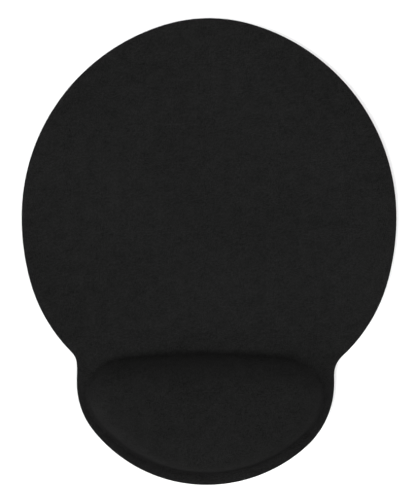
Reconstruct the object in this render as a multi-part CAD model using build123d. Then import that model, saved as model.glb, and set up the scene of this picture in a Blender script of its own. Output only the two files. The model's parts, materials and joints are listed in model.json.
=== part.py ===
from build123d import *
import math
import os

# A gel wrist-rest mouse pad: a round mousing area that narrows through two notches into a wrist end,
# with a D-shaped gel pillow on it. It is one bonded laminate, and every layer is its own solid.
#
# Frame: X to the right, Y away from the user, Z up. The origin is on the desk under the middle of the
# pad's bounding box. All sizes are in millimetres, and all bearings in degrees clockwise from +Y.

# ---------------------------------------------------------------- driving dimensions

pad_length = 249.4          # front edge of the wrist end to the top of the mousing area
overall_height = 20.0       # desk to the crest of the gel pillow

# layer thicknesses, from the desk up
base_thickness = 1.0        # polyurethane non-slip base
base_adhesive_thickness = 0.1
foam_thickness = 1.9        # closed-cell foam board
top_adhesive_thickness = 0.1
backing_film_thickness = 0.15
cover_film_thickness = 0.15
fabric_thickness = 0.6      # knitted cover

# mousing area: (radius, bearing where the arc ends) down its right side, mirrored on the left
mousing_arcs = [(81.0, 16.0), (107.4, 89.6), (128.0, 105.4)]
hip_radius = 86.0           # last convex arc above the notch

# wrist end: its two sides differ a little, and its axis lies left of the pad's axis
wrist_axis_x = -1.3
wrist_sides = {
    "right": {"front_radius": 79.4, "front_turn": 41.8, "side_radius": 45.7, "notch_radius": 13.0},
    "left": {"front_radius": 77.4, "front_turn": 51.4, "side_radius": 40.3, "notch_radius": 10.0},
}

# gel pillow: a D on the wrist end's axis, with a shallow arc at the back
pillow_front_gap = 6.3      # front edge of the pad to the foot of the pillow
pillow_depth = 64.0         # foot to foot, front to back
pillow_front_radius = 76.3
pillow_back_radius = 390.0
pillow_corner_radius = {"right": 22.3, "left": 20.2}

# gel pillow walls: how far each one leans in by the level of the crest
front_lean = 2.0
back_lean = 5.5
side_lean = 4.0
crown_across = 120.0        # radius of the crowned top, front to back
crown_along = 900.0         # radius of the crowned top, side to side
shoulder_radius = 7.0       # the rounding between walls and top

# ---------------------------------------------------------------- levels worked out from them

base_top = base_thickness
base_adhesive_top = base_top + base_adhesive_thickness
foam_top = base_adhesive_top + foam_thickness
top_adhesive_top = foam_top + top_adhesive_thickness
backing_film_top = top_adhesive_top + backing_film_thickness
cover_film_top = backing_film_top + cover_film_thickness
fabric_top = cover_film_top + fabric_thickness

front_y = -pad_length / 2
back_y = pad_length / 2

side_sign = {"right": 1, "left": -1}

# ---------------------------------------------------------------- plane geometry


def point_at(centre, radius, bearing):
    """The point at this distance and bearing from a centre."""
    angle = math.radians(bearing)
    return (centre[0] + radius * math.sin(angle), centre[1] + radius * math.cos(angle))


def bearing_to(start, end):
    """The bearing of one point from another."""
    return math.degrees(math.atan2(end[0] - start[0], end[1] - start[1]))


def arc(centre, radius, bearing_a, bearing_b):
    """The arc about a centre from one bearing to another."""
    middle = point_at(centre, radius, (bearing_a + bearing_b) / 2)
    return ThreePointArc(point_at(centre, radius, bearing_a), middle, point_at(centre, radius, bearing_b))


def crossing(centre_a, radius_a, centre_b, radius_b, side):
    """Where two circles cross, on the right of the centres' line (side 1) or on its left (-1).

    The centres lie one behind the other, along Y.
    """
    gap = centre_b[1] - centre_a[1]
    along = (radius_a**2 - radius_b**2 + gap**2) / (2 * gap)
    across = math.sqrt(radius_a**2 - along**2)
    return (centre_a[0] + side * across, centre_a[1] + along)


# ---------------------------------------------------------------- outlines


def mousing_side(side):
    """The convex arcs of one side, from the top point down to the hip, and the hip's own arc data."""
    edges = []
    bearing = 0.0
    radius = mousing_arcs[0][0]
    centre = (0.0, back_y - radius)
    for next_radius, end_bearing in mousing_arcs:
        centre = point_at(centre, radius - next_radius, bearing)
        edges.append(arc(centre, next_radius, bearing, side * end_bearing))
        radius = next_radius
        bearing = side * end_bearing
    hip_centre = point_at(centre, radius - hip_radius, bearing)
    return edges, hip_centre, bearing


def wrist_side(side_name):
    """One side of the wrist end: its front arc, its side arc, and the x of its straight neck."""
    size = wrist_sides[side_name]
    side = side_sign[side_name]
    front_centre = (wrist_axis_x, front_y + size["front_radius"])
    turn = side * (180.0 - size["front_turn"])
    side_centre = point_at(front_centre, size["front_radius"] - size["side_radius"], turn)
    front_arc = arc(front_centre, size["front_radius"], side * 180.0, turn)
    side_arc = arc(side_centre, size["side_radius"], turn, side * 90.0)
    neck_x = side_centre[0] + side * size["side_radius"]
    return front_arc, side_arc, (neck_x, side_centre[1])


def notch(side_name, hip_centre, hip_start, neck):
    """The hip arc, the hollow arc of the notch, and the straight neck below it."""
    side = side_sign[side_name]
    radius = wrist_sides[side_name]["notch_radius"]
    notch_x = neck[0] + side * radius
    reach = hip_radius + radius
    drop = math.sqrt(reach**2 - (notch_x - hip_centre[0]) ** 2)
    notch_centre = (notch_x, hip_centre[1] - drop)
    hip_end = bearing_to(hip_centre, notch_centre)
    hip = arc(hip_centre, hip_radius, hip_start, hip_end)
    hollow = arc(notch_centre, radius, hip_end - side * 180.0, -side * 90.0)
    straight = Line((neck[0], notch_centre[1]), neck)
    return hip, hollow, straight


def pad_face():
    """The die-cut outline that every layer shares."""
    edges = []
    for side_name, side in side_sign.items():
        mousing_edges, hip_centre, hip_start = mousing_side(side)
        front_arc, side_arc, neck = wrist_side(side_name)
        edges += mousing_edges
        edges += notch(side_name, hip_centre, hip_start, neck)
        edges += [side_arc, front_arc]
    return make_face(edges)


def pillow_face(front_inset, side_inset, back_inset):
    """The D of the pillow, drawn in from its foot by these amounts."""
    front_radius = pillow_front_radius - side_inset
    back_radius = pillow_back_radius - back_inset
    foot_y = front_y + pillow_front_gap
    front_centre = (wrist_axis_x, foot_y + front_inset + front_radius)
    back_centre = (wrist_axis_x, foot_y + pillow_depth - back_inset - back_radius)
    ends = {}
    corners = []
    for side_name, side in side_sign.items():
        radius = pillow_corner_radius[side_name] - side_inset
        centre = crossing(back_centre, back_radius - radius, front_centre, front_radius - radius, side)
        front_end = bearing_to(front_centre, centre)
        back_end = bearing_to(back_centre, centre)
        corners.append(arc(centre, radius, back_end, front_end))
        ends[side_name] = (back_end, front_end)
    back_arc = arc(back_centre, back_radius, ends["left"][0], ends["right"][0])
    front_arc = arc(front_centre, front_radius, ends["right"][1], ends["left"][1] + 360.0)
    return make_face([back_arc, front_arc] + corners)


# ---------------------------------------------------------------- solids


def sheet(bottom, top):
    """One flat layer of the laminate."""
    return Pos(0, 0, bottom) * extrude(pad_face(), top - bottom)


def pillow(depth):
    """The pillow's solid, this deep below its outer surface on every side.

    Depth 0 is the outside of the fabric, and its foot is on the fabric's flat surface.
    """
    foot_level = fabric_top - depth
    crest = overall_height - depth
    foot = Pos(0, 0, foot_level) * pillow_face(depth, depth, depth)
    head = Pos(0, 0, crest) * pillow_face(front_lean + depth, side_lean + depth, back_lean + depth)
    walls = loft([foot, head], ruled=True)
    middle_y = front_y + pillow_front_gap + (pillow_depth + front_lean - back_lean) / 2
    ring = Torus(crown_along - crown_across, crown_across - depth)
    crown = Pos(wrist_axis_x, middle_y, overall_height - crown_along) * Rot(90, 0, 0) * ring
    body = walls & crown
    rim = [edge for edge in body.edges() if edge.center().Z > (foot_level + crest) / 2]
    return fillet(rim, shoulder_radius - depth)


def write(node, solid):
    export_step(solid, os.path.join("parts", node + ".step"))


os.makedirs("parts", exist_ok=True)

fabric_outside = pillow(0.0)
film_outside = pillow(fabric_thickness)
gel_outside = pillow(fabric_thickness + cover_film_thickness)

write("non_slip_base", sheet(0.0, base_top))
write("base_adhesive_film", sheet(base_top, base_adhesive_top))
write("foam_board", sheet(base_adhesive_top, foam_top))
write("top_adhesive_film", sheet(foam_top, top_adhesive_top))
write("gel_backing_film", sheet(top_adhesive_top, backing_film_top))
write("gel_core", gel_outside)
write("cover_film", sheet(backing_film_top, cover_film_top) + film_outside - gel_outside)
write("fabric_cover", sheet(cover_film_top, fabric_top) + fabric_outside - film_outside)
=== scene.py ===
"""The looks of a gel wrist-rest mouse pad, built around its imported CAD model.

The fabric, the film under it, the gel, the foam and the base get detailed meshes in place of their plain
CAD solids. The backing film and the two adhesive films keep theirs. One curved surface, swollen by a
cloth simulation, shapes the fabric, its film and the gel, so that they stay nested.

Everything is in metres, in the CAD model's frame: X to the right, Y away from the user, Z up.
"""

import json
import math

import bpy
import numpy as np
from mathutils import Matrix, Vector, noise
from mathutils.bvhtree import BVHTree
from mathutils.geometry import delaunay_2d_cdt


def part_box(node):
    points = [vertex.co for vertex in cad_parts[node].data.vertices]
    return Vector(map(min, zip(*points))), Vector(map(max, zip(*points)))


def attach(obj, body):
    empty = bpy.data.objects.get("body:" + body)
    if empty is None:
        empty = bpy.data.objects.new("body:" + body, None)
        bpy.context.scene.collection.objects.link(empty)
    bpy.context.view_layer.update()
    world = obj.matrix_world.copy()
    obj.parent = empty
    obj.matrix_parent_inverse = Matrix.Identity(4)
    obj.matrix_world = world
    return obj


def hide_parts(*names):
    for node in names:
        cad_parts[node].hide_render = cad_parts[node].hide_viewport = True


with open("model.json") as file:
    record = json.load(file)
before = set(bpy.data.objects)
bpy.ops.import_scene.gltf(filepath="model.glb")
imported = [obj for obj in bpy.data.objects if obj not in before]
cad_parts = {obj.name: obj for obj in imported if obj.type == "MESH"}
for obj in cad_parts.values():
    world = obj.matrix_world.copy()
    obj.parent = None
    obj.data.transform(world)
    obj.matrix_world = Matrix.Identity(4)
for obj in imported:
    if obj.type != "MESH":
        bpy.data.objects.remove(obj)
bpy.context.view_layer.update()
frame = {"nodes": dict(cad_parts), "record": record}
MM = 0.001
BODY = "root"

# ---------------------------------------------------------------- sizes

# mesh spacing
LOOP_STEP = 0.75 * MM           # along the outline and the pillow's foot
PILLOW_STEP = 0.9 * MM
NEAR_STEP = 1.1 * MM            # on the flat, close to the pillow
FLAT_STEP = 2.2 * MM
NEAR_REACH = 7.0 * MM
CROWN_STEP = 3.0 * MM           # between the CAD points that the crown is fitted to
CROWN_CLEARANCE = 1.2           # how far from the foot they lie, as a share of the widest rounding
CURVE_STEPS = 12                # points from one CAD corner to the next, before a loop is spaced evenly

# how far grid points keep clear of the lines round them, as a share of their own spacing
RING_CLEARANCE = 0.5
ZONE_CLEARANCE = 0.4
CAP_CLEARANCE = 0.6

# numerical limits
LEVEL_TOLERANCE = 0.005 * MM    # points this close to a level are on it
SAME_POINT_DECIMALS = 7         # points in one place to this many decimals of a metre are one point
OUTLINE_CLEARANCE = 2.0 * MM    # points on the flat that are farther in than this belong to the pillow
TINY = 1e-9
PARTS = 40                      # tables of distances are worked out in this many parts, to save memory

# faces that meet at less than this many degrees look smooth
LAYER_SMOOTHING = 60
SLAB_SMOOTHING = 50

# rings that follow the outline inwards: (inset, how far the cut edge of the cloth is pressed down there)
EDGE_RINGS = [
    (0.0, 0.17 * MM),
    (0.12 * MM, 0.07 * MM),
    (0.3 * MM, 0.02 * MM),
    (0.7 * MM, 0.0),
    (1.4 * MM, 0.0),
]
# rings on the flat that follow the pillow's foot outwards: (offset, depth of the pressed seam there)
FOOT_RINGS = [(0.35 * MM, 0.12 * MM), (0.8 * MM, 0.12 * MM), (1.4 * MM, 0.05 * MM), (2.2 * MM, 0.0)]
FOOT_DEPTH = 0.08 * MM
# the pillow's profile on each side: how far in from the foot it rounds over into the top, and how full
# it is (an ellipse at 2, a parabola at 1, and hollow at the foot below that)
ROUNDING = {
    "front": (6.0 * MM, 1.2),
    "back": (14.0 * MM, 1.05),
    "left": (15.0 * MM, 0.8),
    "right": (9.0 * MM, 0.85),
}
# the pressed crease round its foot, where shade is painted into the cloth's colour: (how far inside the foot
# the painted shade is darkest, its half width, its strength)
CREASE = {
    "front": (0.75 * MM, 1.15 * MM, 1.15),
    "back": (-0.2 * MM, 1.9 * MM, 0.65),
    "left": (0.8 * MM, 1.0 * MM, 0.25),
    "right": (0.3 * MM, 1.4 * MM, 0.0),
}
CREASE_DEPTH = 2.0              # at strength 1 it is this many times its rings' depth deeper
SIDE_BLEND = 8                  # points of the foot on either side that a side's values are blended over
# rings up the pillow's walls, by share of the height that they would have without the rounding
WALL_SHARES = [
    0.035, 0.07, 0.13, 0.19, 0.26, 0.33, 0.4, 0.47,
    0.54, 0.61, 0.68, 0.75, 0.82, 0.88, 0.93, 0.965,
]

# cloth simulation of the pillow
SIM_FRAMES = 20
SIM_SETTINGS = {
    "uniform_pressure_force": 4.0,
    "mass": 0.1,
    "tension_stiffness": 6.0,
    "compression_stiffness": 6.0,
    "shear_stiffness": 3.0,
    "bending_stiffness": 0.1,
}
SIM_START_HEIGHT = 0.93         # the pillow swells from this share of its height
SIM_MOST_MOVE = 2.5 * MM
SMOOTHING_ROUNDS = 3            # light smoothing after it
STRETCH_ROUNDS = 1500           # evens out the cloth's stretch over the pillow
CREASE_REACH = 2.6 * MM         # the crease round the pillow's foot is softened this far out and in
CREASE_ROUNDS = 5

# random relief: (wavelength, height)
FLAT_RELIEF = (9.0 * MM, 0.03 * MM)
PILLOW_RELIEF = (16.0 * MM, 0.1 * MM)
CUT_RELIEF = (1.3 * MM, 0.05 * MM)
FRAY_RELIEF = (0.9 * MM, 0.05 * MM)

# cut rims, from top to bottom: (share of the layer's height, how far it stands out)
FABRIC_RIM = [(0.7, 0.05 * MM), (0.35, 0.06 * MM)]
BASE_RIM = [(1.0, 0.0), (0.5, 0.03 * MM), (0.14, 0.0), (0.04, -0.1 * MM), (0.0, -0.25 * MM)]
FOAM_RIM_LOOPS = 9
FOAM_WAIST = 0.16 * MM          # how far in the cut foam springs back at mid height
FOAM_WAIST_POWER = 0.7          # below 1 the hollow is squarer than a sine
EDGE_LIGHTENING_REACH = 1.6 * MM            # how far in from the cut edge the cloth's colour is made lighter

# spacing inside hidden flat faces
CAP_STEP = 6.0 * MM
GEL_FILL_STEP = 3.0 * MM

# honeycomb grip under the base
CELL_SIDES = 6
CELL_PITCH = 3.6 * MM
CELL_RIB = 0.6 * MM
CELL_DEPTH = 0.25 * MM
CELL_CROWN = 0.05 * MM          # the cells' floors dome this much
CELL_DRAFT = 0.86               # size of a cell's floor against its mouth
CELL_BORDER = 1.2 * MM

# layers
FLAT_TOP = next(m["pos_m"][2] for m in frame["record"]["mounts"] if m["name"] == "mousing_surface")
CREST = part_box("fabric_cover")[1].z
FABRIC_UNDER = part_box("fabric_cover")[0].z
FILM_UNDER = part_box("cover_film")[0].z
FABRIC_DEPTH = FLAT_TOP - FABRIC_UNDER
FILM_DEPTH = FLAT_TOP - FILM_UNDER

# knit: columns of V stitches
WALE_PITCH = 0.47 * MM
COURSE_PITCH = 0.39 * MM
STITCH_SLANT = 0.9              # how many courses a stitch's legs rise from its spine to its edge
# the yarn's mottling, from fine to coarse: (size, detail, weight)
YARN = {
    "grain": (0.55 * MM, 1.0, 1.7),
    "heather": (1.6 * MM, 2.0, 0.75),
    "mottle": (6.0 * MM, 2.0, 0.48),
    "cloud": (60.0 * MM, 1.0, 0.25),
}
DARK_YARN = 0.0030
LIGHT_YARN = 0.0129
PAINTED_CREASE_SHADE = 0.42             # how much painted shade darkens the cloth's colour in a crease of strength 1
FULL_STRETCH = 0.25             # the mottling is faintest where the cloth is stretched this much or more
LOOSE_CONTRAST = 1.02
STRETCHED_CONTRAST = 0.7

# studio
FLOOR_SIZE = 60.0
FLOOR_GAP = 0.02 * MM
SKY_STRENGTH = 0.48
HORIZON_STRENGTH = 1.1
HORIZON_HEIGHT = 0.12           # sine of the elevation that the bright horizon reaches
SKY_HEIGHT = 0.36               # sine of the elevation from which the light is as weak as overhead
# (name, strength, how wide the light looks in degrees, the direction that it comes from)
SOFT_LIGHTS = [
    ("key", 4.1, 65.0, (-1.15, -0.75, 1.0)),
    ("fill", 2.5, 60.0, (1.1, 0.15, 1.0)),
]

# camera
LENS = 85.0
SENSOR = 36.0
VIEW_HEIGHT = 0.2671            # what the picture shows from top to bottom, at the fabric's level
VIEW_CENTRE = (-0.56 * MM, 0.82 * MM)

# ---------------------------------------------------------------- curves in the plane


def level_points(node, level):
    """The node's corner points at this height, as rows of x and y, each one once."""
    points = np.array([v.co for v in frame["nodes"][node].data.vertices])
    flat = points[np.abs(points[:, 2] - level) < LEVEL_TOLERANCE]
    return np.unique(flat[:, :2].round(SAME_POINT_DECIMALS), axis=0)


def in_order(points, centre):
    """Points of a closed loop, put in order round a centre that sees them all."""
    angle = np.arctan2(points[:, 1] - centre[1], points[:, 0] - centre[0])
    return points[np.argsort(angle)]


def unit(vectors):
    """The same directions, at length 1."""
    return vectors / np.linalg.norm(vectors, axis=-1, keepdims=True)


def smooth_loop(corners, step):
    """An evenly spaced closed curve through the corners, which follows the arcs that they lie on."""
    ahead = np.roll(corners, -1, axis=0) - corners
    reach = np.linalg.norm(ahead, axis=1, keepdims=True)
    behind, behind_reach = np.roll(ahead, 1, axis=0), np.roll(reach, 1, axis=0)
    tangent = unit(behind / behind_reach * reach + ahead / reach * behind_reach)
    next_corner, next_tangent = np.roll(corners, -1, axis=0), np.roll(tangent, -1, axis=0)
    stretches = []
    for t in np.linspace(0, 1, CURVE_STEPS, endpoint=False):
        stretches.append(
            (2 * t**3 - 3 * t**2 + 1) * corners
            + (t**3 - 2 * t**2 + t) * reach * tangent
            + (3 * t**2 - 2 * t**3) * next_corner
            + (t**3 - t**2) * reach * next_tangent
        )
    fine = np.stack(stretches, axis=1).reshape(-1, 2)
    closed = np.vstack([fine, fine[:1]])
    along = np.concatenate([[0], np.cumsum(np.linalg.norm(np.diff(closed, axis=0), axis=1))])
    count = int(round(along[-1] / step))
    wanted = np.linspace(0, along[-1], count, endpoint=False)
    return np.stack([np.interp(wanted, along, closed[:, i]) for i in (0, 1)], axis=1)


def offset_loop(loop, distance):
    """The loop moved outwards by a distance, or inwards if it is negative."""
    tangent = unit(np.roll(loop, -1, axis=0) - np.roll(loop, 1, axis=0))
    outwards = np.stack([tangent[:, 1], -tangent[:, 0]], axis=1)
    return loop + outwards * distance


def nearest_on(loop, points):
    """The number of the loop's point that is nearest to each point, and how far away it is."""
    nearest = []
    gaps = []
    for part in np.array_split(points, PARTS):
        away = np.sqrt(((part[:, None] - loop[None]) ** 2).sum(2))
        nearest.append(away.argmin(1))
        gaps.append(away.min(1))
    return np.concatenate(nearest), np.concatenate(gaps)


def distance_to(points, loop):
    """How far each point is from the nearest point of a loop."""
    return nearest_on(loop, points)[1]


def inside(points, loop):
    """Which points lie inside a loop, by counting the edges that a ray to the right crosses."""
    x, y = points[:, :1], points[:, 1:]
    ax, ay = loop[:, 0], loop[:, 1]
    bx, by = np.roll(ax, -1), np.roll(ay, -1)
    spans = (ay > y) != (by > y)
    rise = np.where(by == ay, 1.0, by - ay)
    crossing = x < ax + (y - ay) / rise * (bx - ax)
    return (spans & crossing).sum(1) % 2 == 1


def grid(low, high, step):
    """Rows of points on a triangular grid that covers a box."""
    rows = np.arange(low[1], high[1], step * math.sqrt(3) / 2)
    columns = np.arange(low[0], high[0], step)
    x, y = np.meshgrid(columns, rows)
    x[1::2] += step / 2
    return np.stack([x.ravel(), y.ravel()], axis=1)


def round_edges(first, count):
    """The edges round a closed loop whose points are numbered from first."""
    return [(first + i, first + (i + 1) % count) for i in range(count)]


def triangulated(points, edges, loop):
    """Triangles between points of the plane that keep these edges and stay within a loop."""
    inside_only = 1
    made = delaunay_2d_cdt([Vector(point) for point in points], edges, [], inside_only, TINY, False)
    if len(made[0]) != len(points):
        raise ValueError(f"loops cross: {len(points)} points became {len(made[0])}")
    triangles = np.array([tuple(face) for face in made[2]])
    return triangles[inside(points[triangles].mean(1), loop)]


def filled(loop, step):
    """A closed loop's own points, then more points inside it, and the triangles between them all."""
    points = grid(loop.min(0), loop.max(0), step)
    points = points[inside(points, loop)]
    points = points[distance_to(points, loop) > CAP_CLEARANCE * step]
    everything = np.vstack([loop, points])
    return everything, triangulated(everything, round_edges(0, len(loop)), loop)


# ---------------------------------------------------------------- the plan of the top surface

outline_corners = level_points("non_slip_base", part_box("non_slip_base")[1].z)
outline = smooth_loop(in_order(outline_corners, (0, 0)), LOOP_STEP)
foot_corners = level_points("fabric_cover", FLAT_TOP)
foot_corners = foot_corners[distance_to(foot_corners, outline) > OUTLINE_CLEARANCE]
foot = smooth_loop(in_order(foot_corners, foot_corners.mean(0)), LOOP_STEP)

cad_top = BVHTree.FromPolygons(
    [v.co for v in frame["nodes"]["fabric_cover"].data.vertices],
    [tuple(p.vertices) for p in frame["nodes"]["fabric_cover"].data.polygons],
)


def rolling_mean(values, reach):
    """Each value averaged with its neighbours round a loop, this many on either side."""
    return sum(np.roll(values, shift, axis=0) for shift in range(-reach, reach + 1)) / (2 * reach + 1)


def by_side(sides):
    """Values given for the four sides, mixed for each point of the foot by the way it faces."""
    outwards = unit(offset_loop(foot, 1.0) - foot)
    across = np.where(outwards[:, :1] > 0, sides["right"], sides["left"])
    along = np.where(outwards[:, 1:] > 0, sides["back"], sides["front"])
    mixed = outwards[:, :1] ** 2 * across + outwards[:, 1:] ** 2 * along
    return rolling_mean(mixed, SIDE_BLEND).T


rounding, fullness = by_side(ROUNDING)
# the crease's painted shade round the foot; its strength also deepens the pressed seam
crease_middle, crease_width, crease_strength = by_side(CREASE)


def wall_loops():
    """Rings up the pillow's walls, each where the profile reaches its share of the height."""
    inwards = unit(foot - offset_loop(foot, 1 * MM))
    loops = []
    for share in WALL_SHARES:
        reach = rounding * (1 - np.sqrt(1 - share**fullness))
        loops.append(foot + inwards * reach[:, None])
    return loops


def crown_terms(points):
    """The terms of a curved surface of the second degree, for each point."""
    x, y = points.T
    return np.stack([np.ones(len(x)), x, y, x * x, x * y, y * y], axis=1)


def crown_over(points):
    """The height of the pillow's crowned top above the flat, carried on outwards over the walls."""
    cad_points = grid(foot.min(0), foot.max(0), CROWN_STEP)
    cad_points = cad_points[inside(cad_points, foot)]
    cad_points = cad_points[distance_to(cad_points, foot) > CROWN_CLEARANCE * rounding.max()]
    down = Vector((0, 0, -1))
    cad_heights = [cad_top.ray_cast(Vector((*point, 1.0)), down)[0].z - FLAT_TOP for point in cad_points]
    fitted = np.linalg.lstsq(crown_terms(cad_points), np.array(cad_heights), rcond=None)[0]
    return crown_terms(points) @ fitted


def clear_of_edge(step):
    """Grid points over the whole pad that keep clear of the rings along its edge."""
    points = grid(outline.min(0), outline.max(0), step)
    points = points[inside(points, outline)]
    return points[distance_to(points, outline) > EDGE_RINGS[-1][0] + RING_CLEARANCE * step]


def pillow_fill(step, shoulder):
    """Grid points on the pillow, inside the last ring of its walls."""
    points = clear_of_edge(step)
    points = points[inside(points, shoulder)]
    return points[distance_to(points, shoulder) > RING_CLEARANCE * step]


def flat_fill(step, nearest, farthest):
    """Grid points on the flat, between two distances from the pillow's foot."""
    points = clear_of_edge(step)
    away = distance_to(points, foot)
    return points[(away > nearest) & (away < farthest) & ~inside(points, foot)]


def plan_of_top():
    """Triangulates the outline, finer on and near the pillow.

    Returns the points, the triangles, and by name the stretch of points that each ring takes up.
    """
    walls = wall_loops()
    loops = {f"edge_{i}": offset_loop(outline, -inset) for i, (inset, _) in enumerate(EDGE_RINGS)}
    loops |= {f"flat_{i}": offset_loop(foot, offset) for i, (offset, _) in enumerate(FOOT_RINGS)}
    loops["foot"] = foot
    loops |= {f"wall_{i}": loop for i, loop in enumerate(walls)}
    fills = [
        pillow_fill(PILLOW_STEP, walls[-1]),
        flat_fill(NEAR_STEP, FOOT_RINGS[-1][0] + RING_CLEARANCE * NEAR_STEP, NEAR_REACH),
        flat_fill(FLAT_STEP, NEAR_REACH + ZONE_CLEARANCE * FLAT_STEP, math.inf),
    ]
    starts = np.cumsum([0] + [len(loop) for loop in loops.values()])
    places = {name: slice(start, start + len(loops[name])) for name, start in zip(loops, starts)}
    points = np.vstack(list(loops.values()) + fills)
    edges = []
    for place in places.values():
        edges += round_edges(place.start, place.stop - place.start)
    return points, triangulated(points, edges, outline), places


plan, top_triangles, rings = plan_of_top()


def swollen(start, faces, pinned):
    """Cloth filled by pressure from below, held where pinned. Returns its points after the simulation."""
    mesh = bpy.data.meshes.new("pillow_cloth")
    mesh.from_pydata(start.tolist(), [], faces.tolist())
    cloth = bpy.data.objects.new("pillow_cloth", mesh)
    bpy.context.collection.objects.link(cloth)
    held = cloth.vertex_groups.new(name="held")
    held.add(np.flatnonzero(pinned).tolist(), 1.0, "REPLACE")
    modifier = cloth.modifiers.new("cloth", "CLOTH")
    settings = modifier.settings
    settings.vertex_group_mass = "held"
    settings.use_pressure = True
    settings.effector_weights.gravity = 0.0
    for setting, value in SIM_SETTINGS.items():
        setattr(settings, setting, value)
    modifier.collision_settings.use_collision = False
    modifier.collision_settings.use_self_collision = False
    modifier.point_cache.frame_end = SIM_FRAMES
    scene = bpy.context.scene
    for number in range(1, SIM_FRAMES + 1):
        scene.frame_set(number)
    made = cloth.evaluated_get(bpy.context.evaluated_depsgraph_get()).to_mesh()
    moved = np.array([v.co for v in made.vertices])
    scene.frame_set(1)
    bpy.data.objects.remove(cloth)
    bpy.data.meshes.remove(mesh)
    return moved


def pillow_heights(points, places):
    """The height of the pillow over each point of the plan, above the flat."""
    within = inside(points, foot)
    nearest, away = nearest_on(foot, points[within])
    share = np.minimum(away / rounding[nearest], 1)
    profile = np.zeros(len(points))
    profile[within] = (1 - (1 - share) ** 2) ** (1 / fullness[nearest])
    for i, wall_share in enumerate(WALL_SHARES):
        profile[places[f"wall_{i}"]] = wall_share
    profile[places["foot"]] = 0.0
    return profile * crown_over(points)


def pillow_part(points, faces, places):
    """The part of the top that the pillow covers: which points, which are pinned, and its own triangles."""
    used = inside(points, foot)
    used[places["foot"]] = True
    pinned = np.zeros(len(points), bool)
    pinned[places["foot"]] = True
    renumbered = np.cumsum(used) - 1
    return used, pinned[used], renumbered[faces[used[faces].all(1)]]


def joined(faces):
    """Every edge of the triangles once, as a pair of points."""
    edges = np.vstack([faces[:, [0, 1]], faces[:, [1, 2]], faces[:, [2, 0]]])
    return np.unique(np.sort(edges, axis=1), axis=0)


def relaxed(values, points, faces, free, rounds):
    """Values evened out over a surface: a free point takes its neighbours' mean, by nearness."""
    edges = joined(faces)
    pull = 1 / np.linalg.norm(points[edges[:, 0]] - points[edges[:, 1]], axis=1)
    pull = np.tile(pull, 2)
    here = edges.T.ravel()
    there = edges[:, ::-1].T.ravel()
    total = np.bincount(here, pull, len(values))[:, None]
    for _ in range(rounds):
        sums = [np.bincount(here, pull * column[there], len(values)) for column in values.T]
        values = np.where(free[:, None], np.stack(sums, axis=1) / total, values)
    return values


def swell_pillow(points, faces, places):
    """The top surface in three dimensions, with the pillow swollen by the simulation to its full height."""
    top = np.column_stack([points, FLAT_TOP + pillow_heights(points, places)])
    used, pinned, own = pillow_part(points, faces, places)
    pillow = top[used]
    start = pillow.copy()
    start[:, 2] = FLAT_TOP + (start[:, 2] - FLAT_TOP) * SIM_START_HEIGHT
    travel = swollen(start, own, pinned) - start
    far = np.linalg.norm(travel, axis=1, keepdims=True)
    pillow = start + travel * np.minimum(1, SIM_MOST_MOVE / np.maximum(far, TINY))
    pillow = relaxed(pillow, pillow, own, ~pinned, SMOOTHING_ROUNDS)
    pillow[:, 2] = FLAT_TOP + (pillow[:, 2] - FLAT_TOP) * (CREST - FLAT_TOP) / (pillow[:, 2].max() - FLAT_TOP)
    top[used] = pillow
    near_crease = distance_to(points, foot) < CREASE_REACH
    return relaxed(top, top, faces, near_crease, CREASE_ROUNDS)


def knit_coordinates(top, faces, places):
    """Where each point lay on the flat cloth, before the pillow stretched it."""
    flat = top[:, :2].copy()
    used, pinned, own = pillow_part(plan, faces, places)
    flat[used] = relaxed(flat[used], top[used], own, ~pinned, STRETCH_ROUNDS)
    return np.column_stack([flat, np.zeros(len(flat))])


def normals_of(points, faces):
    """The normal at each point, by the size of the triangles round it."""
    a, b, c = (points[faces[:, i]] for i in range(3))
    across = np.cross(b - a, c - a)
    sums = [np.bincount(faces.ravel(), np.repeat(across[:, axis], 3), len(points)) for axis in range(3)]
    return unit(np.stack(sums, axis=1))


def areas(points, faces):
    """The area of each triangle."""
    a, b, c = (points[faces[:, i]] for i in range(3))
    return np.linalg.norm(np.cross(b - a, c - a), axis=1) / 2


def stretch_of(top, flat, faces):
    """How much larger the cloth is round each point than it was when flat: 0.3 is 30 percent."""
    corners = faces.ravel()
    now = np.bincount(corners, np.repeat(areas(top, faces), 3), len(top))
    before = np.bincount(corners, np.repeat(areas(flat, faces), 3), len(top))
    return now / before - 1


def unevenness(points, wavelength, height):
    """A gentle random relief."""
    return np.array([noise.noise(Vector(point) / wavelength) for point in points.tolist()]) * height


def finish_top(top, faces, places):
    """Presses the cut edge and the seam round the pillow into the top, and makes it slightly uneven."""
    used = pillow_part(plan, faces, places)[0]
    normals = normals_of(top, faces)
    top = top + normals * unevenness(top, *FLAT_RELIEF)[:, None]
    swell = unevenness(top, *PILLOW_RELIEF) * np.clip((top[:, 2] - FLAT_TOP) / CREST, 0, 1)
    top += normals * (swell * used)[:, None]
    for i, (_, depth) in enumerate(EDGE_RINGS):
        top[places[f"edge_{i}"], 2] -= depth
    deeper = 1 + CREASE_DEPTH * crease_strength
    for i, (_, depth) in enumerate(FOOT_RINGS):
        top[places[f"flat_{i}"], 2] -= depth * deeper
    top[places["foot"], 2] -= FOOT_DEPTH * deeper
    return top


def beneath(top, faces, depth, level):
    """The top surface again, this deep below itself under the pillow, and at a level everywhere else."""
    used = inside(plan, foot)
    used[rings["foot"]] = True
    normals = normals_of(top, faces)
    under = top.copy()
    under[used] -= normals[used] * depth
    under[rings["foot"]] = top[rings["foot"]] - normals[rings["foot"]] * depth * math.sqrt(2)
    under[:, 2] = np.where(used, np.maximum(under[:, 2], level), level)
    return under


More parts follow.
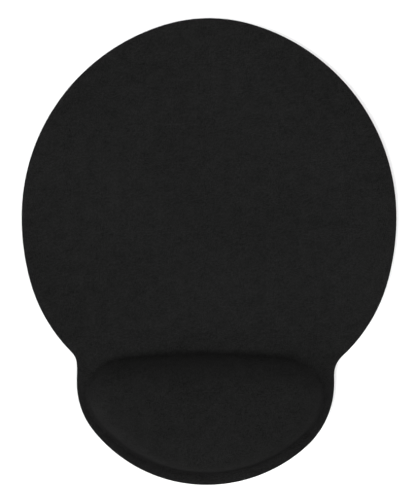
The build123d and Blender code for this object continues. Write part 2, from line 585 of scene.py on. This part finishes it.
top = swell_pillow(plan, top_triangles, rings)
knit = knit_coordinates(top, top_triangles, rings)
stretch = stretch_of(top, knit, top_triangles)
top = finish_top(top, top_triangles, rings)
fabric_under = beneath(top, top_triangles, FABRIC_DEPTH, FABRIC_UNDER)
film_under = beneath(top, top_triangles, FILM_DEPTH, FILM_UNDER)
in_pillow, pillow_rim, pillow_triangles = pillow_part(plan, top_triangles, rings)

# ---------------------------------------------------------------- pieces


def piece(name, points, faces, smooth_below):
    """A mesh object, smooth where its faces meet at less than this many degrees."""
    mesh = bpy.data.meshes.new(name)
    mesh.from_pydata(np.asarray(points).tolist(), [], [list(map(int, face)) for face in faces])
    mesh.shade_smooth()
    mesh.set_sharp_from_angle(angle=math.radians(smooth_below))
    made = bpy.data.objects.new(name, mesh)
    bpy.context.collection.objects.link(made)
    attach(made, BODY)
    return made


def numbers(first, count):
    """This many point numbers, from the first one on."""
    return np.arange(first, first + count)


def strip(upper, lower):
    """Faces between two closed loops of point numbers, facing outwards when the loops run anticlockwise."""
    return np.stack([upper, lower, np.roll(lower, -1), np.roll(upper, -1)], axis=1)


def at_level(loop, level):
    """Points of the plane, lifted to a level."""
    return np.column_stack([loop, np.full(len(loop), level)])


def laminate(name, upper, lower, rim_loops):
    """A thin closed piece between two copies of the top surface, with loops of its own round its cut rim."""
    count = len(upper)
    top_rim = numbers(0, count)[rings["edge_0"]]
    points = [upper, lower]
    loops = [top_rim]
    for i, loop in enumerate(rim_loops):
        points.append(loop)
        loops.append(numbers(2 * count + i * len(loop), len(loop)))
    loops.append(top_rim + count)
    faces = [tuple(face) for face in top_triangles]
    faces += [tuple(face[::-1] + count) for face in top_triangles]
    for a, b in zip(loops, loops[1:]):
        faces += [tuple(face) for face in strip(a, b)]
    return piece(name, np.vstack(points), faces, LAYER_SMOOTHING)


def give(made, name, values):
    """Stores a number for each point of a piece, for its material to read."""
    made.data.attributes.new(name, "FLOAT", "POINT").data.foreach_set("value", values)


def painted_crease_shade():
    """How much painted shade for the crease each point of the plan gets, up to the crease's strength there.
    """
    nearest, away = nearest_on(foot, plan)
    inwards = np.where(inside(plan, foot), 1, -1) * away
    spread = (inwards - crease_middle[nearest]) / crease_width[nearest]
    return np.exp(-(spread**2)) * crease_strength[nearest]


def fabric_piece():
    """The knitted cover, with its cut rim a little frayed and bulged."""
    rim = []
    for share, bulge in FABRIC_RIM:
        fray = unevenness(at_level(outline, share), *FRAY_RELIEF)
        loop = offset_loop(outline, bulge) + (offset_loop(outline, 1.0) - outline) * fray[:, None]
        level = FABRIC_UNDER + share * (FLAT_TOP - EDGE_RINGS[0][1] - FABRIC_UNDER)
        rim.append(at_level(loop, level))
    made = laminate("knitted_cover", top, fabric_under, rim)
    weave = made.data.attributes.new("weave", "FLOAT_VECTOR", "POINT")
    rim_knit = [at_level(loop[:, :2], 0.0) for loop in rim]
    weave.data.foreach_set("vector", np.vstack([knit, knit] + rim_knit).ravel())
    lighter_near_edge = np.clip(1 - distance_to(plan, outline) / EDGE_LIGHTENING_REACH, 0, 1)
    # painted shade in the crease round the pillow's foot, stored for the material
    shade = painted_crease_shade()
    rim_count = len(rim) * len(outline)
    give(made, "edge", np.concatenate([lighter_near_edge, lighter_near_edge, np.ones(rim_count)]))
    give(made, "crease", np.concatenate([shade, shade, np.zeros(rim_count)]))
    give(made, "stretch", np.concatenate([stretch, stretch, np.zeros(rim_count)]))
    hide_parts("fabric_cover")
    return made


def film_piece():
    """The film under the fabric."""
    made = laminate("pocket_film", fabric_under, film_under, [])
    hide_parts("cover_film")
    return made


def gel_piece():
    """The gel, from the film down to the flat backing film."""
    dome = film_under[in_pillow]
    rim = np.flatnonzero(pillow_rim)
    bottom, triangles = filled(dome[rim][:, :2], GEL_FILL_STEP)
    inner = at_level(bottom[len(rim):], FILM_UNDER)
    lower = np.concatenate([rim, numbers(len(dome), len(inner))])
    faces = [tuple(face) for face in pillow_triangles]
    faces += [tuple(lower[face[::-1]]) for face in triangles]
    made = piece("gel_pillow", np.vstack([dome, inner]), faces, LAYER_SMOOTHING)
    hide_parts("gel_core")
    return made


def slab_rim(node, shape):
    """Loops round a flat layer's cut rim from top to bottom: shape gives (share of the height, outwards)."""
    low, high = (corner.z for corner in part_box(node))
    loops = []
    for share, outwards in shape:
        level = low + share * (high - low)
        rough = unevenness(at_level(outline, level), *CUT_RELIEF) * math.sin(math.pi * share)
        direction = offset_loop(outline, 1.0) - outline
        loops.append(at_level(outline + direction * (outwards + rough)[:, None], level))
    return loops


def slab(rim, cap_above, cap_below):
    """The points and faces of a flat layer, from its rim's loops and the caps that close it.

    A cap is its points in the plane, of which the first are the rim's own, and its triangles. The number of
    the first point that only the lower cap has is returned last.
    """
    count = len(outline)
    above, above_triangles = cap_above
    below, below_triangles = cap_below
    first_above = count * len(rim)
    first_below = first_above + len(above) - count
    high = rim[0][0, 2]
    low = rim[-1][0, 2]
    points = np.vstack(rim + [at_level(above[count:], high), at_level(below[count:], low)])
    upper = np.concatenate([numbers(0, count), numbers(first_above, len(above) - count)])
    lower = np.concatenate([numbers(first_above - count, count), numbers(first_below, len(below) - count)])
    faces = [tuple(upper[face]) for face in above_triangles]
    faces += [tuple(lower[face[::-1]]) for face in below_triangles]
    for first in range(0, first_above - count, count):
        faces += [tuple(face) for face in strip(numbers(first, count), numbers(first + count, count))]
    return points, faces, first_below


def foam_piece():
    """The foam board: its rim is cut slightly hollow, as foam springs back from the die."""
    shares = np.linspace(1, 0, FOAM_RIM_LOOPS)
    shape = [(share, -FOAM_WAIST * math.sin(math.pi * share) ** FOAM_WAIST_POWER) for share in shares]
    cap = filled(outline, CAP_STEP)
    points, faces, _ = slab(slab_rim("foam_board", shape), cap, cap)
    made = piece("foam_sheet", points, faces, SLAB_SMOOTHING)
    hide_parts("foam_board")
    return made


def honeycomb(loop):
    """The grip pattern: the plan of the ribs and the cells moulded into them.

    Returns the points, the ribs' triangles and the cells' centres. The points are the loop's, and then each
    cell's corners.
    """
    centres = grid(loop.min(0), loop.max(0), CELL_PITCH)
    corner_reach = (CELL_PITCH - CELL_RIB) / math.sqrt(3)
    centres = centres[inside(centres, loop)]
    centres = centres[distance_to(centres, loop) > corner_reach + CELL_BORDER]
    angles = (np.arange(CELL_SIDES) + 0.5) * 2 * math.pi / CELL_SIDES
    corners = np.stack([np.cos(angles), np.sin(angles)], axis=1)
    cells = (centres[:, None] + corner_reach * corners[None]).reshape(-1, 2)
    points = np.vstack([loop, cells])
    count = len(loop)
    edges = round_edges(0, count)
    for cell in range(len(centres)):
        edges += round_edges(count + CELL_SIDES * cell, CELL_SIDES)
    triangles = triangulated(points, edges, loop)
    cell_of = np.where(triangles >= count, (triangles - count) // CELL_SIDES, -1)
    in_cell = (cell_of[:, 0] >= 0) & (cell_of == cell_of[:, :1]).all(1)
    return points, triangles[~in_cell], centres


def base_piece():
    """The non-slip base: a moulded sheet with a softened bottom edge and a honeycomb of shallow cells."""
    rim = slab_rim("non_slip_base", BASE_RIM)
    low = rim[-1][0, 2]
    ribs, rib_triangles, centres = honeycomb(rim[-1][:, :2])
    points, faces, first_mouth = slab(rim, filled(outline, CAP_STEP), (ribs, rib_triangles))
    mouths = ribs[len(outline):].reshape(-1, CELL_SIDES, 2)
    floors = (mouths - centres[:, None]) * CELL_DRAFT + centres[:, None]
    first_floor = len(points)
    points = np.vstack([points, at_level(floors.reshape(-1, 2), low + CELL_DEPTH)])
    first_middle = len(points)
    points = np.vstack([points, at_level(centres, low + CELL_DEPTH + CELL_CROWN)])
    for cell in range(len(centres)):
        mouth = numbers(first_mouth + CELL_SIDES * cell, CELL_SIDES)
        bottom = numbers(first_floor + CELL_SIDES * cell, CELL_SIDES)
        faces += [tuple(face) for face in strip(bottom, mouth)[:, ::-1]]
        faces += [(after, before, first_middle + cell) for before, after in zip(bottom, np.roll(bottom, -1))]
    made = piece("grip_base", points, faces, SLAB_SMOOTHING)
    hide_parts("non_slip_base")
    return made


knitted_cover = fabric_piece()
pocket_film = film_piece()
gel_pillow = gel_piece()
foam_sheet = foam_piece()
grip_base = base_piece()

# ---------------------------------------------------------------- material helpers


class Network:
    """The nodes of one material, round its one Principled shader."""

    def __init__(self, name, **finish):
        self.material = bpy.data.materials.new(name)
        self.material.use_nodes = True
        self.nodes = self.material.node_tree.nodes
        self.links = self.material.node_tree.links
        self.shader = self.nodes["Principled BSDF"]
        for socket, value in finish.items():
            self.shader.inputs[socket.replace("_", " ")].default_value = value

    def put(self, value, socket):
        """Links an output to a socket, or sets a plain value on it."""
        if isinstance(value, bpy.types.NodeSocket):
            self.links.new(value, socket)
        else:
            socket.default_value = value

    def place(self):
        """Where a point is, in the object's frame, in metres."""
        return self.nodes.new("ShaderNodeTexCoord").outputs["Object"]

    def attribute(self, name, output):
        """A value that is stored on the mesh."""
        node = self.nodes.new("ShaderNodeAttribute")
        node.attribute_name = name
        return node.outputs[output]

    def math(self, operation, first, second=0.5, third=0.5):
        """The result of one arithmetic step."""
        node = self.nodes.new("ShaderNodeMath")
        node.operation = operation
        for value, socket in zip((first, second, third), node.inputs):
            self.put(value, socket)
        return node.outputs[0]

    def shaken(self, place, size, reach):
        """The place, moved about by noise of this size, by up to this far."""
        centred = self.nodes.new("ShaderNodeVectorMath")
        centred.operation = "SUBTRACT"
        self.put(self.noise(place, size, output="Color"), centred.inputs[0])
        centred.inputs[1].default_value = (0.5, 0.5, 0.5)
        moved = self.nodes.new("ShaderNodeVectorMath")
        moved.operation = "MULTIPLY_ADD"
        self.put(centred.outputs[0], moved.inputs[0])
        moved.inputs[1].default_value = (2 * reach, 2 * reach, 2 * reach)
        self.put(place, moved.inputs[2])
        return moved.outputs[0]

    def noise(self, place, size, detail=2.0, output="Fac"):
        """Smooth noise, from 0 to 1, whose blobs are about this large."""
        node = self.nodes.new("ShaderNodeTexNoise")
        self.put(place, node.inputs["Vector"])
        node.inputs["Scale"].default_value = 1 / size
        node.inputs["Detail"].default_value = detail
        return node.outputs[output]

    def cells(self, place, size):
        """How far a point is from the nearest cell's middle, from 0 to about 1."""
        node = self.nodes.new("ShaderNodeTexVoronoi")
        self.put(place, node.inputs["Vector"])
        node.inputs["Scale"].default_value = 1 / size
        return node.outputs["Distance"]

    def range(self, value, low, high, new_low, new_high):
        """Maps low..high to new_low..new_high, and stops there."""
        node = self.nodes.new("ShaderNodeMapRange")
        for number, socket in zip((value, low, high, new_low, new_high), node.inputs):
            self.put(number, socket)
        return node.outputs[0]

    def shades(self, value, stops):
        """A colour for each value, between (value, (red, green, blue)) stops."""
        node = self.nodes.new("ShaderNodeValToRGB")
        self.put(value, node.inputs[0])
        ramp = node.color_ramp.elements
        while len(ramp) < len(stops):
            ramp.new(0.5)
        for element, (position, colour) in zip(ramp, stops):
            element.position = position
            element.color = (*colour, 1.0)
        return node.outputs[0]

    def bump(self, height, distance, strength=1.0):
        """Makes the surface look uneven, as if a height of 1 stood out by this distance."""
        node = self.nodes.new("ShaderNodeBump")
        node.inputs["Strength"].default_value = strength
        node.inputs["Distance"].default_value = distance
        self.put(height, node.inputs["Height"])
        self.put(node.outputs[0], self.shader.inputs["Normal"])

    def finish(self, colour, roughness):
        """Sets the colour and the roughness, and returns the material."""
        self.put(colour, self.shader.inputs["Base Color"])
        self.put(roughness, self.shader.inputs["Roughness"])
        return self.material


def grey(value):
    """A colour with this much of red, green and blue."""
    return (value, value, value)


def total(network, parts):
    """The weighted sum of noises, each from 0 to 1 round a middle of a half."""
    result = 0.5
    for noise_value, weight in parts:
        centred = network.math("SUBTRACT", noise_value, 0.5)
        result = network.math("MULTIPLY_ADD", centred, weight, result)
    return result


# ---------------------------------------------------------------- materials


def knit_fabric():
    """Black warp-knit jersey: columns of small V stitches, with a heathered, slightly mottled yarn.

    The mottling evens out where the cloth is stretched, and shade is painted into the colour in the crease
    round the pillow's foot.
    """
    net = Network("black_knit", Specular_IOR_Level=0.0, Sheen_Weight=0.0035, Sheen_Roughness=0.5)
    cloth = net.attribute("weave", "Vector")
    place = net.shaken(net.shaken(cloth, 7 * MM, 0.4 * MM), 0.9 * MM, 0.08 * MM)
    split = net.nodes.new("ShaderNodeSeparateXYZ")
    net.put(place, split.inputs[0])
    column = net.math("FRACT", net.math("DIVIDE", split.outputs["X"], WALE_PITCH))
    from_spine = net.math("MULTIPLY", net.math("ABSOLUTE", net.math("SUBTRACT", column, 0.5)), 2.0)
    row = net.math("DIVIDE", split.outputs["Y"], COURSE_PITCH)
    leg = net.math("FRACT", net.math("MULTIPLY_ADD", from_spine, STITCH_SLANT, row))
    across = net.math("SINE", net.math("MULTIPLY", from_spine, math.pi))
    along = net.math("SINE", net.math("MULTIPLY", leg, math.pi))
    stitch = net.math("MULTIPLY", net.math("POWER", across, 0.6), net.math("MULTIPLY_ADD", along, 0.6, 0.4))
    noises = {name: net.noise(cloth, size, detail) for name, (size, detail, _) in YARN.items()}
    tone = total(net, [(noises[name], weight) for name, (_, _, weight) in YARN.items()])
    stretched = net.attribute("stretch", "Fac")
    contrast = net.range(stretched, 0.0, FULL_STRETCH, LOOSE_CONTRAST, STRETCHED_CONTRAST)
    tone = net.math("MULTIPLY_ADD", net.math("SUBTRACT", tone, 0.5), contrast, 0.5)
    # the colour is lighter towards the cut edge, and lightest on the cut rim
    tone = net.math("MULTIPLY_ADD", net.attribute("edge", "Fac"), 0.1, tone)
    # painted shade: the colour is darker in the gaps between the stitches and lighter on the yarn
    tone = net.math("MULTIPLY_ADD", stitch, 0.16, net.math("SUBTRACT", tone, 0.08))
    # painted shade: the colour is darkened in the crease round the pillow's foot
    crease_painted_shade = net.math("MULTIPLY_ADD", net.attribute("crease", "Fac"), -PAINTED_CREASE_SHADE, 1.0)
    colour = net.math("MULTIPLY", net.range(tone, 0.0, 1.0, DARK_YARN, LIGHT_YARN), crease_painted_shade)
    roughness = net.range(net.math("ADD", stitch, noises["heather"]), 0.2, 1.6, 0.95, 0.8)
    relief = net.math("MULTIPLY_ADD", noises["heather"], 0.8, stitch)
    net.bump(relief, 0.14 * MM, 0.45)
    return net.finish(colour, roughness)


def smoky_film():
    """Thin smoky polyurethane film, dull from being bonded on both sides."""
    net = Network("smoky_film", Specular_IOR_Level=0.12, Transmission_Weight=0.1)
    place = net.place()
    streaks = net.noise(place, 4 * MM, 3.0)
    colour = net.shades(streaks, [(0.2, grey(0.010)), (0.8, grey(0.018))])
    net.bump(net.noise(place, 0.7 * MM), 0.02 * MM, 0.4)
    return net.finish(colour, net.range(streaks, 0.2, 0.8, 0.35, 0.55))


def gel():
    """Clear, faintly blue-grey polyurethane gel with small trapped bubbles."""
    net = Network("soft_gel", IOR=1.47, Transmission_Weight=0.75, Coat_Weight=0.2)
    place = net.place()
    haze = net.noise(place, 12 * MM, 3.0)
    bubbles = net.range(net.cells(place, 3.2 * MM), 0.05, 0.14, 1.0, 0.0)
    tone = net.math("MULTIPLY_ADD", bubbles, 0.4, haze)
    colour = net.shades(tone, [(0.2, (0.42, 0.50, 0.53)), (0.9, (0.66, 0.72, 0.74))])
    net.bump(bubbles, 0.1 * MM, 0.4)
    return net.finish(colour, net.range(haze, 0.2, 0.8, 0.12, 0.25))


def hot_melt():
    """The thin dark adhesive films."""
    net = Network("hot_melt", Specular_IOR_Level=0.12)
    place = net.place()
    blotches = net.noise(place, 2.2 * MM, 3.0)
    colour = net.shades(blotches, [(0.2, grey(0.010)), (0.8, grey(0.019))])
    net.bump(blotches, 0.03 * MM, 0.5)
    return net.finish(colour, net.range(blotches, 0.2, 0.8, 0.5, 0.7))


def foam():
    """Black closed-cell foam, cut through so that its fine cells show."""
    net = Network("cell_foam", Specular_IOR_Level=0.06)
    place = net.place()
    bent = net.shaken(place, 1.1 * MM, 0.15 * MM)
    fine = net.cells(bent, 0.32 * MM)
    coarse = net.cells(bent, 0.8 * MM)
    walls = net.math("ADD", net.math("MULTIPLY", fine, 0.65), net.math("MULTIPLY", coarse, 0.35))
    tint = net.noise(place, 5 * MM, 2.0)
    tone = net.math("MULTIPLY_ADD", tint, 0.35, walls)
    colour = net.shades(tone, [(0.25, grey(0.006)), (0.75, grey(0.016)), (1.0, grey(0.026))])
    net.bump(walls, 0.12 * MM, 0.7)
    return net.finish(colour, net.range(walls, 0.1, 0.8, 0.95, 0.75))


def grip_rubber():
    """Matt black polyurethane rubber with a fine sandy skin and a little dust-grey haze."""
    net = Network("grip_rubber", Specular_IOR_Level=0.12)
    place = net.place()
    skin = net.noise(place, 0.35 * MM, 2.0)
    haze = net.noise(place, 18 * MM, 3.0)
    tone = total(net, [(skin, 0.5), (haze, 0.7)])
    colour = net.shades(tone, [(0.2, grey(0.006)), (0.5, grey(0.010)), (0.85, grey(0.016))])
    net.bump(skin, 0.05 * MM, 0.5)
    return net.finish(colour, net.range(tone, 0.2, 0.8, 0.62, 0.78))


def dress(made, material):
    """Gives a piece its material. A CAD node keeps its own slot for it."""
    if not made.material_slots:
        made.data.materials.append(None)
    made.material_slots[0].material = material


film_material = smoky_film()
hot_melt_material = hot_melt()
dress(knitted_cover, knit_fabric())
dress(pocket_film, film_material)
dress(frame["nodes"]["gel_backing_film"], film_material)
dress(gel_pillow, gel())
dress(frame["nodes"]["top_adhesive_film"], hot_melt_material)
dress(frame["nodes"]["base_adhesive_film"], hot_melt_material)
dress(foam_sheet, foam())
dress(grip_base, grip_rubber())

# ---------------------------------------------------------------- floor, light and camera


def floor():
    """A plain white table, just below the pad."""
    bpy.ops.mesh.primitive_plane_add(size=FLOOR_SIZE, location=(0, 0, -FLOOR_GAP))
    made = bpy.context.object
    made.name = "floor"
    net = Network("white_table", Specular_IOR_Level=0.1)
    paper = net.noise(net.place(), 30 * MM, 2.0)
    dress(made, net.finish(net.shades(paper, [(0.0, grey(0.90)), (1.0, grey(0.92))]), 0.8))


def studio():
    """White light from all round, brightest at the horizon, and soft lights that are even everywhere."""
    world = bpy.data.worlds.new("studio")
    bpy.context.scene.world = world
    world.use_nodes = True
    nodes, links = world.node_tree.nodes, world.node_tree.links
    direction = nodes.new("ShaderNodeTexCoord")
    split = nodes.new("ShaderNodeSeparateXYZ")
    fade = nodes.new("ShaderNodeMapRange")
    links.new(direction.outputs["Generated"], split.inputs[0])
    links.new(split.outputs["Z"], fade.inputs[0])
    limits = (HORIZON_HEIGHT, SKY_HEIGHT, HORIZON_STRENGTH, SKY_STRENGTH)
    for socket, number in zip(fade.inputs[1:], limits):
        socket.default_value = number
    background = nodes["Background"]
    background.inputs["Color"].default_value = (1.0, 1.0, 1.0, 1.0)
    links.new(fade.outputs[0], background.inputs["Strength"])
    for name, strength, width, place in SOFT_LIGHTS:
        lamp = bpy.data.lights.new(name, "SUN")
        lamp.energy = strength
        lamp.angle = math.radians(width)
        made = bpy.data.objects.new(name, lamp)
        made.rotation_euler = (-Vector(place)).to_track_quat("-Z", "Y").to_euler()
        bpy.context.collection.objects.link(made)
    bpy.context.scene.view_settings.view_transform = "Standard"


def camera():
    """Straight above the pad, far enough to show the picture's height."""
    data = bpy.data.cameras.new("camera")
    data.lens = LENS
    data.sensor_width = SENSOR
    distance = VIEW_HEIGHT * LENS / SENSOR
    made = bpy.data.objects.new("camera", data)
    made.location = (*VIEW_CENTRE, FLAT_TOP + distance)
    bpy.context.collection.objects.link(made)
    bpy.context.scene.camera = made


floor()
studio()
camera()
